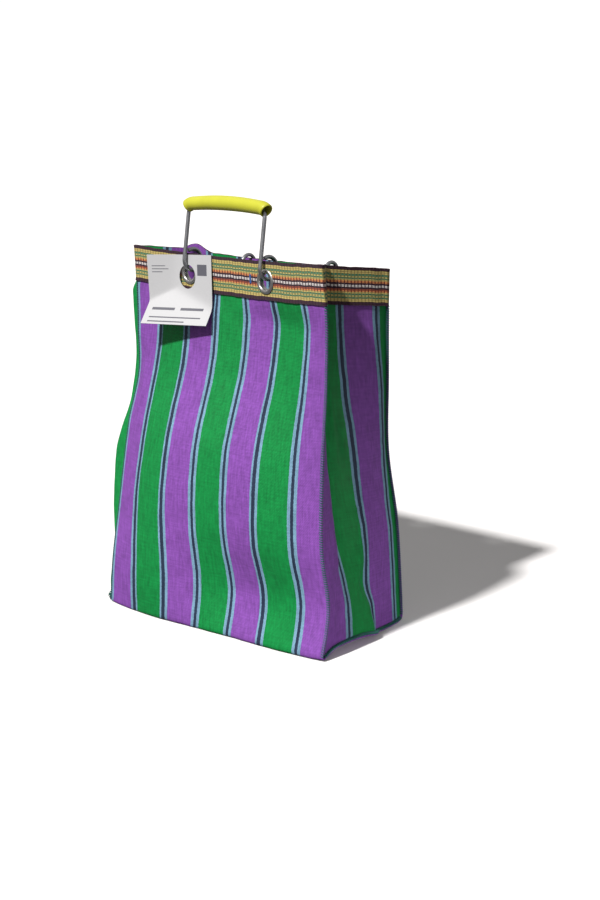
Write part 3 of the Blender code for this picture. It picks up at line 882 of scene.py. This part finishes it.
def cloth_places(points, width):
    """Places on the cloth: across scaled to its cut width, along by length."""
    steps = np.linalg.norm(np.diff(points, axis=1), axis=2)
    across = np.concatenate([np.zeros((len(points), 1)), np.cumsum(steps, axis=1)], axis=1)
    across *= width / across[:, -1:]
    lengths = np.linalg.norm(np.diff(points, axis=0), axis=2).mean(axis=1)
    along = np.concatenate([[0.0], np.cumsum(lengths)])
    return np.stack([across, np.broadcast_to(along[:, None], across.shape)], axis=2)


def open_eyelets(points, frames, radius, cell):
    """Draws grid points near each eyelet onto a circle, and says which quads stay."""
    keep = np.ones((points.shape[0] - 1, points.shape[1]), bool)
    for place in frames:
        local = placed(points, place.inverted())
        reach = np.hypot(local[..., 0], local[..., 1])
        beside = np.abs(local[..., 2]) < 0.02
        snapped = beside & (np.abs(reach - radius) < cell * 0.55)
        scale = np.where(snapped, radius / np.maximum(reach, 1e-9), 1.0)
        local[..., 0] *= scale
        local[..., 1] *= scale
        points[snapped] = placed(local, place)[snapped]
        inside = beside & (reach < radius) & ~snapped
        wrapped = np.roll(inside, -1, axis=1)
        keep &= ~(inside[:-1] | inside[1:] | wrapped[:-1] | wrapped[1:])
    return keep


def tucked(along, station):
    """Places along a wall, drawn in from its side edges under the tape."""
    under_tape = np.clip((station - 0.895) / 0.01, 0.0, 1.0)
    return 0.5 + (along - 0.5) * (1.0 - 2 * TUCK / CLOTH_WIDTH * under_tape)


def build_main_panel(material, eyelets):
    along = np.linspace(0.0, 1.0, PANEL_COLUMNS + 1)
    stations = np.linspace(0.0, 1.0, WALL_ROWS + 1)
    back = np.array([panel_row("back", s, tucked(along, s)) for s in stations[::-1]])
    front = np.array([panel_row("front", s, tucked(along, s)) for s in stations])
    shares = np.linspace(1.0, 0.0, BASE_ROWS + 1)
    points = np.concatenate([back[:-1], base_rows(along, shares), front[1:]])
    for fold in (WALL_ROWS, WALL_ROWS + BASE_ROWS):
        soften(points, np.arange(fold - 3, fold + 4), 5)
    # Fine creases, fading out towards every edge.
    rows = np.arange(len(points))[:, None] / (len(points) - 1)
    edge_fade = np.sin(math.pi * along[None, :]) ** 0.5 * np.clip(np.minimum(rows, 1 - rows) * 12, 0, 1)
    x = along[None, :] * CLOTH_WIDTH
    y = rows * 0.90
    points += grid_normals(points, False) * (PANEL_CREASE * ripple(x, y, 1.0) * edge_fade)[..., None]
    cloth = cloth_places(points, CLOTH_WIDTH)
    keep = open_eyelets(points, eyelets, PANEL_HOLE, PANEL_QUAD)[:, :-1]
    points[..., 2] = np.maximum(points[..., 2], PANEL_THICK / 2)
    return solid_sheet("woven_panel", points, cloth, VISIBLE_THICK, material, keep)


def build_gusset(side, material):
    places = np.linspace(0.0, 1.0, GUSSET_COLUMNS + 1)
    stations = np.linspace(0.0, 1.0, WALL_ROWS + 1)
    points = np.array([gusset_row(side, s, places) for s in stations])
    fade = np.sin(math.pi * places[None, :]) ** 0.5 * np.clip((1.0 - stations[:, None]) * 8, 0, 1)
    crease = ripple(places[None, :] * GUSSET_WIDTH, stations[:, None] * 0.38, 3.0)
    depth = (GUSSET_CREASE if side == "right" else -GUSSET_CREASE) * crease * fade
    points += grid_normals(points, False) * depth[..., None]
    cloth = cloth_places(points, GUSSET_WIDTH)
    if side == "left":
        points = points[:, ::-1]
        cloth = cloth[:, ::-1]
    return solid_sheet("woven_gusset_" + side, points.copy(), cloth.copy(), VISIBLE_THICK, material)


# ---- rim tape ----------------------------------------------------------------
TAPE_STEP = 0.0021
TAPE_RISE = 0.0005             # the tape's top stands this far above the cloth
TAPE_GRID_ROWS = 18
TAPE_RIPPLE = 0.0005
TAPE_HEM = 0.0005              # the tape is thicker by this at its bound edges
TAPE_HEM_REACH = 0.003
TAPE_HOLE = 0.0097
TAPE_QUAD = 0.0022


def even_points(points, count):
    """A closed loop of points, spaced evenly."""
    closed = np.vstack([points, points[:1]])
    lengths = arc_lengths(closed)
    where = np.linspace(0.0, lengths[-1], count, endpoint=False)
    return resample(where, lengths, closed)


def rim_loop(depth, count):
    """The rim at a depth, counter-clockwise from the front left corner, with the tape's offset."""
    wide = np.linspace(0.0, 1.0, 90)
    narrow = np.linspace(0.03, 0.97, 60)
    sides = []
    for row_of, height_of, side, along in (
        (panel_row, rim_height, "front", wide),
        (gusset_row, gusset_rim, "right", narrow),
        (panel_row, rim_height, "back", wide),
        (gusset_row, gusset_rim, "left", narrow),
    ):
        row = row_of(side, 1.0 - depth / float(height_of(side, 0.5)), along)
        row[:, 2] = height_of(side, along) - depth
        sides.append(row if side in ("front", "right") else row[::-1])
    loop = even_points(np.vstack(sides), count)
    for _ in range(2):
        loop = loop * 0.5 + (np.roll(loop, 1, axis=0) + np.roll(loop, -1, axis=0)) * 0.25
    tangent = np.roll(loop, -1, axis=0) - np.roll(loop, 1, axis=0)
    loop[:, :2] += unit(np.column_stack([tangent[:, 1], -tangent[:, 0]])) * TAPE_OFFSET
    return loop


def build_rim_tape(material, eyelets):
    girth = arc_lengths(rim_loop(0.0, 420))[-1]
    count = int(girth / TAPE_STEP)
    depths = np.linspace(TAPE_HEIGHT, -TAPE_RISE, TAPE_GRID_ROWS + 1)
    points = np.array([rim_loop(depth, count) for depth in depths])
    lengths = arc_lengths(points[-1])
    points[..., 2] += TAPE_RIPPLE * ripple(lengths * 1.7, lengths * 0.4, 2.0)
    cloth = np.stack(np.broadcast_arrays(lengths[None, :], (depths + TAPE_RISE)[:, None]), axis=2).copy()
    keep = open_eyelets(points, eyelets, TAPE_HOLE, TAPE_QUAD)
    bound = np.minimum(depths + TAPE_RISE, TAPE_HEIGHT - depths)
    thickness = VISIBLE_THICK + TAPE_HEM * np.clip(1.0 - bound / TAPE_HEM_REACH, 0.0, 1.0)
    # A short seam where the ribbon's ends meet keeps the place along it from running backwards.
    keep[:, -1] = False
    return solid_sheet("patterned_rim_tape", points, cloth, thickness[:, None], material, keep, wrap=True)


# ---- threads -----------------------------------------------------------------
STITCH_PITCH = 0.0024
STITCH_RADIUS = 0.00050
WRAP_RADIUS = 0.00165
WRAP_HALF = 0.00125            # half the loops' width across the seam
WRAP_OVERHANG = 0.0006         # the loops stand this far beyond the edge


def path_of(points, spacing):
    """A path with evenly spaced points."""
    lengths = arc_lengths(points)
    where = np.linspace(0.0, lengths[-1], max(int(lengths[-1] / spacing), 2))
    return resample(where, lengths, points)


def overlock_mesh(name, edge, inwards, flat=1.0):
    """Thread wound round a seam's edge. inwards points from each point of the edge towards the seam."""
    path = path_of(edge, STITCH_PITCH / 12)
    lengths = arc_lengths(edge)
    where = np.linspace(0.0, lengths[-1], len(path))
    toward = resample(where, lengths, inwards)
    tangent = unit(np.gradient(path, axis=0))
    toward = unit(toward - tangent * np.sum(toward * tangent, axis=1, keepdims=True))
    side = np.cross(tangent, toward)
    turn = 2 * math.pi * where / STITCH_PITCH
    wound = path + toward * (WRAP_RADIUS * (1.0 - np.cos(turn)) - WRAP_OVERHANG)[:, None]
    wound += side * (WRAP_HALF * flat * np.sin(turn))[:, None]
    return tube_mesh(name, wound, STITCH_RADIUS, sides=6)


def wall_edge(panel, side, stations):
    """A panel's upright edge, and the direction from it into the panel."""
    u = np.array([1.0, 0.985]) if side == "right" else np.array([0.0, 0.015])
    rows = np.array([panel_row(panel, s, u) for s in stations])
    inwards = rows[:, 1] - rows[:, 0]
    return rows[:, 0], unit(inwards)


def build_threads(material):
    """The thread round each side seam and each side of the base, with the name of its CAD solid."""
    made = []
    for panel in ("front", "back"):
        for side in ("left", "right"):
            edge, inwards = wall_edge(panel, side, np.linspace(0.012, 0.905, 70))
            back_step = -np.array(wall_outward(panel, 0.5, 1.0 if side == "right" else 0.0)) * 0.0006
            seam = panel + "_" + side
            mesh = overlock_mesh("overlock_" + seam, edge + back_step, inwards)
            made.append((new_object(mesh, material), "seam_thread_" + seam))
    for side in ("left", "right"):
        edge = base_edge(side, np.linspace(0.035, 0.965, 60))
        edge[:, 2] += 0.0016
        inwards = np.tile([(-1.0 if side == "right" else 1.0), 0.0, 0.35], (len(edge), 1))
        mesh = overlock_mesh("overlock_base_" + side, edge, inwards, 0.7)
        made.append((new_object(mesh, material), "seam_thread_base_" + side))
    return made


TACK_ALONG = 0.63
TACK_HALF = 0.0042
TACK_HALF_WIDTH = 0.0009
TACK_TURNS = 13
TACK_STEPS = 8                 # points in each turn


def build_bar_tack(material):
    """A narrow satin bar of blue thread, wound over the tape."""
    top = float(rim_height("front", TACK_ALONG))
    middle = EYELET_DEPTH - 0.001
    points = []
    for step in range(TACK_TURNS * TACK_STEPS + 1):
        share = step / (TACK_TURNS * TACK_STEPS)
        depth = middle - TACK_HALF + 2 * TACK_HALF * share
        station = 1.0 - depth / top
        outward = wall_outward("front", station, TACK_ALONG)
        place = Vector((*wall_plan("front", station, TACK_ALONG), top - depth))
        angle = 2 * math.pi * share * TACK_TURNS
        offset = TAPE_OFFSET + TAPE_THICK / 2 + 0.0001 + 0.0005 * max(math.sin(angle), 0.0)
        points.append(place + outward * offset + UP.cross(outward) * TACK_HALF_WIDTH * math.cos(angle))
    return new_object(tube_mesh("bar_tack", points, 0.00034, sides=8), material)


# ---- eyelets -----------------------------------------------------------------
def eyelet_frame(side, along):
    station = 1.0 - EYELET_DEPTH / float(rim_height(side, along))
    outward = wall_outward(side, station, along)
    turn = Matrix((UP.cross(outward), UP, outward)).transposed().to_4x4()
    place = Vector((*wall_plan(side, station, along), float(rim_height(side, along)) - EYELET_DEPTH))
    return Matrix.Translation(place) @ turn


def eyelet_profile():
    """A rolled flange outside, a thin barrel, and a curled flare over the washer inside."""
    seat = TAPE_OFFSET + TAPE_THICK / 2 + EYELET_GAP
    flare = -PANEL_THICK / 2 - 2 * EYELET_GAP - 0.0007
    wide = EYELET_FLANGE - EYELET_BORE
    crest = [(EYELET_BORE + wide * s, seat + 0.0011 * math.sin(math.pi * s) ** 0.6 - 0.0003 * (1 - s))
             for s in np.linspace(0.0, 1.0, 15)]
    return (
        *crest,
        (EYELET_FLANGE - 0.0002, seat - 0.0001),
        (EYELET_BARREL + 0.0004, seat),
        (EYELET_BARREL, seat - 0.0003),
        (EYELET_BARREL, flare + 0.0002),
        (EYELET_BARREL + 0.0003, flare),
        (EYELET_BARREL + 0.0012, flare),
        (EYELET_BARREL + 0.0013, flare - 0.0003),
        (EYELET_BARREL + 0.0010, flare - 0.0006),
        (EYELET_BORE + 0.0004, flare - 0.0007),
        (EYELET_BORE + 0.0001, flare - 0.0004),
        (EYELET_BORE, flare + 0.0002),
    )


# ---- handles -----------------------------------------------------------------
def crown(across):
    return HANDLE_HEIGHT + HANDLE_CROWN * (1.0 - (across / HANDLE_HALF_TOP) ** 2)


def handle_path(half_span):
    """Centre line of the wire, X along the hinge, Y inwards and Z up."""
    eye = [(-half_span, EYE_RADIUS * math.cos(a), EYE_RADIUS * math.sin(a))
           for a in np.radians(np.linspace(124.0, -180.0, 56))]
    y = -EYE_RADIUS
    leg_top = HANDLE_HEIGHT - CORNER_RADIUS
    leg = [(-half_span + (half_span - HANDLE_HALF_TOP) * s, y, leg_top * s)
           for s in np.linspace(0.15, 1.0, 10)]
    middle = -HANDLE_HALF_TOP + CORNER_RADIUS
    bend = [(middle + CORNER_RADIUS * math.cos(a), y, leg_top + CORNER_RADIUS * math.sin(a))
            for a in np.radians(np.linspace(172.0, 98.0, 9))]
    top = [(x, y, crown(x)) for x in np.linspace(-0.040, 0.0, 16)]
    half = eye + leg + bend + top
    return np.array(half + [(-x, y, z) for x, y, z in reversed(half[:-1])])


def grip_path():
    """Centre line of the sleeve: along the top of the wire, and drooping over its bends."""
    droop = math.radians(32.0)
    reach = HANDLE_HALF_TOP - CORNER_RADIUS + 0.0015
    top = [(x, -EYE_RADIUS, crown(x)) for x in np.linspace(0.0, reach, 26)]
    turn = [(reach + GRIP_BEND * math.sin(a), -EYE_RADIUS, crown(reach) - GRIP_BEND * (1.0 - math.cos(a)))
            for a in np.linspace(0.0, droop, 9)[1:]]
    half = top + turn
    return np.array([(-x, y, z) for x, y, z in reversed(half[1:])] + half)


def handle_place(side, places, lean):
    ends = []
    for along in places:
        outward = wall_outward(side, 1.0, along)
        plan = Vector((*wall_plan(side, 1.0, along), float(rim_height(side, along)) - EYE_DEPTH))
        ends.append(plan - outward * EYE_INWARD)
    if side == "back":
        ends.reverse()
    across = (ends[1] - ends[0]).normalized()
    inward = UP.cross(across).normalized()
    turn = Matrix((across, inward, across.cross(inward))).transposed().to_4x4()
    lean_turn = Matrix.Rotation(math.radians(-lean), 4, "X")
    return Matrix.Translation((ends[0] + ends[1]) / 2) @ turn @ lean_turn, (ends[1] - ends[0]).length / 2


def declare(piece, node, body="bag"):
    """Hides the CAD solid a piece stands for and hangs the piece on the empty of the body it rides on."""
    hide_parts(node)
    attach(piece, body)


def build_handle(label, side, places, lean, wire_material, grip_material):
    matrix, half_span = handle_place(side, places, lean)
    path = placed(handle_path(half_span), matrix)
    wire = new_object(tube_mesh(label + "_bent_wire", path, WIRE_RADIUS, 20), wire_material)
    sleeve = grip_path()
    swell = GRIP_RADIUS + 0.0002 * np.cos(np.linspace(-1.0, 1.0, len(sleeve)) * math.pi)
    bore = GRIP_RADIUS - GRIP_WALL
    mesh = tube_mesh(label + "_sleeve", placed(sleeve, matrix), swell, 32, inner=bore)
    declare(wire, label + "_wire", label)
    declare(new_object(mesh, grip_material), label + "_grip", label)


# ---- card tag ----------------------------------------------------------------
CARD_LEFT = -0.044
CARD_RIGHT = 0.036
CARD_TOP = 0.0085
CARD_BOTTOM = -0.0600
CARD_HOLE = 0.0120
CARD_HOLE_TOP = -0.0012         # the hole's top edge, a little below the hinge
HOLE_MIDDLE = CARD_HOLE_TOP - CARD_HOLE
CARD_THICK = 0.0005
CARD_REST = -0.0003             # where the flat part lies
REST_EASE = 0.0014              # how softly the card leaves it
FLARE = 0.0262                  # how far the lower left corner would stand out without the crease
FLARE_ACROSS = 0.215            # and how fast that falls, to the right and upwards
FLARE_UP = 0.60
CREASE_TURN = 0.720
CREASE_EASE = 0.0008


def tag_frame():
    along = FRONT_EYELETS[0]
    outward = wall_outward("front", 1.0, along)
    across = UP.cross(outward)
    pin = Vector((*wall_plan("front", 1.0, along), float(rim_height("front", along)) - TAG_HOLE_DEPTH))
    turn = Matrix((across, outward.cross(across), outward)).transposed().to_4x4()
    roll = Matrix.Rotation(math.radians(-TAG_ROLL), 4, "X")
    tilt = Matrix.Rotation(math.radians(TAG_TURN), 4, "Z")
    return Matrix.Translation(pin + outward * TAG_OUTWARD) @ turn @ roll @ tilt


def card_bend(x, y):
    """How far the card stands out: it flares to the lower left, and is creased from its left edge."""
    lower = FLARE - FLARE_ACROSS * (x - CARD_LEFT) - FLARE_UP * (y - CARD_BOTTOM)
    above_crease = -0.438 * (x - CARD_LEFT) + 0.900 * (y + 0.038)
    folded = lower + CREASE_TURN * CREASE_EASE * np.logaddexp(0.0, above_crease / CREASE_EASE)
    return CARD_REST + REST_EASE * np.logaddexp(0.0, (folded - CARD_REST) / REST_EASE)


def card_border(angle):
    """Where a ray from the hole's centre leaves the card."""
    reach = []
    direction = np.array([math.cos(angle), math.sin(angle)])
    for limit, size in ((CARD_RIGHT, direction[0]), (-CARD_LEFT, -direction[0]),
                        (CARD_TOP - HOLE_MIDDLE, direction[1]), (HOLE_MIDDLE - CARD_BOTTOM, -direction[1])):
        if size > 1e-9:
            reach.append(limit / size)
    return direction * min(reach)


def build_tag(material):
    centre = np.array([0.0, HOLE_MIDDLE])
    corners = [(x, y) for x in (CARD_LEFT, CARD_RIGHT) for y in (CARD_TOP, CARD_BOTTOM)]
    corner_angles = [math.atan2(y - HOLE_MIDDLE, x) for x, y in corners]
    angles = np.unique(np.concatenate([np.linspace(-math.pi, math.pi, 144, endpoint=False), corner_angles]))
    rays = [(np.array([math.cos(a), math.sin(a)]) * CARD_HOLE, card_border(a)) for a in angles[::-1]]
    shares = np.linspace(0.0, 1.0, 34) ** 1.15
    flat = np.array([[centre + hole * (1 - s) + border * s for hole, border in rays] for s in shares])
    local = np.concatenate([flat, card_bend(flat[..., 0], flat[..., 1])[..., None]], axis=2)
    return solid_sheet("creased_card", placed(local, tag_frame()), flat, CARD_THICK, material, wrap=True)


# ---- surroundings ------------------------------------------------------------
FLOOR_REACH = 40.0
STUDIO_COLOUR = (1.0, 0.985, 0.975, 1.0)
STUDIO_SEEN = 1.05             # strength of the world as the camera sees it
STUDIO_GLOSS = 0.50            # as reflections see it
STUDIO_LIGHT = 0.26            # as light on the object
SUN_COLOUR = (1.0, 0.985, 0.97)
SUN_TRAVEL = (0.11, 0.90, -1.0)
REFLECTOR_PLACE = (0.95, -0.35, 0.10)
REFLECTOR_TRAVEL = (-0.81, 0.37, -0.13)
CAMERA_PLACE = (0.8052, -1.0223, 0.5016)
CAMERA_TILT = 75.928
CAMERA_TURN = 36.055


def build_floor():
    reach = FLOOR_REACH
    corners = [(-reach, -reach, 0), (reach, -reach, 0), (reach, reach, 0), (-reach, reach, 0)]
    new_object(new_mesh("floor", corners, [(0, 1, 2, 3)]), floor_material())


def build_world():
    """Even light whose strength depends on what sees it."""
    world = bpy.data.worlds.new("studio")
    bpy.context.scene.world = world
    world.use_nodes = True
    tree = world.node_tree
    background = tree.nodes["Background"]
    path = tree.nodes.new("ShaderNodeLightPath")
    strength = STUDIO_LIGHT
    for ray, level in (("Is Glossy Ray", STUDIO_GLOSS), ("Is Camera Ray", STUDIO_SEEN)):
        choice = tree.nodes.new("ShaderNodeMix")
        tree.links.new(path.outputs[ray], choice.inputs[0])
        if isinstance(strength, float):
            choice.inputs[2].default_value = strength
        else:
            tree.links.new(strength, choice.inputs[2])
        choice.inputs[3].default_value = level
        strength = choice.outputs[0]
    tree.links.new(strength, background.inputs["Strength"])
    background.inputs["Color"].default_value = STUDIO_COLOUR


def add_light(name, kind, energy, travel):
    """A lamp whose light travels in the given direction."""
    light = bpy.data.lights.new(name, kind)
    light.energy = energy
    lamp = bpy.data.objects.new(name, light)
    bpy.context.scene.collection.objects.link(lamp)
    lamp.rotation_euler = Vector(travel).to_track_quat("-Z", "Y").to_euler()
    return lamp


def build_lights():
    """A sun, and a soft low light that stands in for light thrown back at the bag's foot."""
    sun = add_light("sun", "SUN", 5.0, SUN_TRAVEL)
    sun.data.angle = math.radians(4.0)
    sun.data.color = SUN_COLOUR
    reflector = add_light("reflector", "SPOT", 34.0, REFLECTOR_TRAVEL)
    reflector.location = REFLECTOR_PLACE
    reflector.data.spot_size = math.radians(34.0)
    reflector.data.spot_blend = 1.0
    reflector.data.shadow_soft_size = 0.25


def build_camera():
    camera = bpy.data.cameras.new("camera")
    camera.lens = 51.88
    camera.sensor_width = 36.0
    viewer = bpy.data.objects.new("camera", camera)
    bpy.context.scene.collection.objects.link(viewer)
    viewer.location = CAMERA_PLACE
    viewer.rotation_euler = (math.radians(CAMERA_TILT), 0.0, math.radians(CAMERA_TURN))
    bpy.context.scene.camera = viewer
    bpy.context.scene.view_settings.view_transform = "Standard"


# ---- build -------------------------------------------------------------------
build_floor()
build_world()
build_lights()
build_camera()
steel = metal_material("nickel_plated_steel", NICKEL, 0.30, 0.12)
galvanised = metal_material("galvanised_drawn_wire", ZINC, 0.42, 0.16)
vinyl = vinyl_material()
teal_thread = thread_material("teal_overlock_thread", TEAL)
blue_thread = thread_material("blue_bar_thread", THREAD_BLUE)

EYELETS = (
    ("front_left", "front", FRONT_EYELETS[0]),
    ("front_right", "front", FRONT_EYELETS[1]),
    ("back_left", "back", BACK_EYELETS[0]),
    ("back_right", "back", BACK_EYELETS[1]),
)
eyelet_places = [eyelet_frame(side, along) for _, side, along in EYELETS]

panel_width = CLOTH_WIDTH / MM
panel = build_main_panel(woven_material("woven_stripes_panel", PANEL_LINES, panel_width), eyelet_places)
declare(panel, "main_panel")

gusset_width = GUSSET_WIDTH / MM
gusset_stripes = {
    "left": woven_material("woven_stripes_left", LEFT_LINES, gusset_width, (GREEN, PURPLE)),
    # The right gusset's copy of the stripes is darkened to 0.85 as painted shade for the side that stands in
    # shade.
    "right": woven_material("woven_stripes_right_painted_shade", RIGHT_LINES, gusset_width, painted_shade_scale=0.85),
}
for side, stripes in gusset_stripes.items():
    gusset = build_gusset(side, stripes)
    declare(gusset, "gusset_" + side)

tape = build_rim_tape(tape_material(), eyelet_places)
declare(tape, "rim_tape")

declare(build_bar_tack(blue_thread), "tape_bar_tack")
for thread, node in build_threads(teal_thread):
    declare(thread, node)

for (label, _, _), place in zip(EYELETS, eyelet_places):
    ring = new_object(lathe_mesh("rolled_eyelet_" + label, eyelet_profile(), place), steel)
    declare(ring, "eyelet_" + label)
    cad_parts["washer_" + label].data.materials[0] = steel

build_handle("front_handle", "front", FRONT_EYELETS, FRONT_LEAN, galvanised, vinyl)
build_handle("back_handle", "back", BACK_EYELETS, BACK_LEAN, galvanised, vinyl)

declare(build_tag(card_material()), "swing_tag", "tag")

bpy.context.view_layer.update()
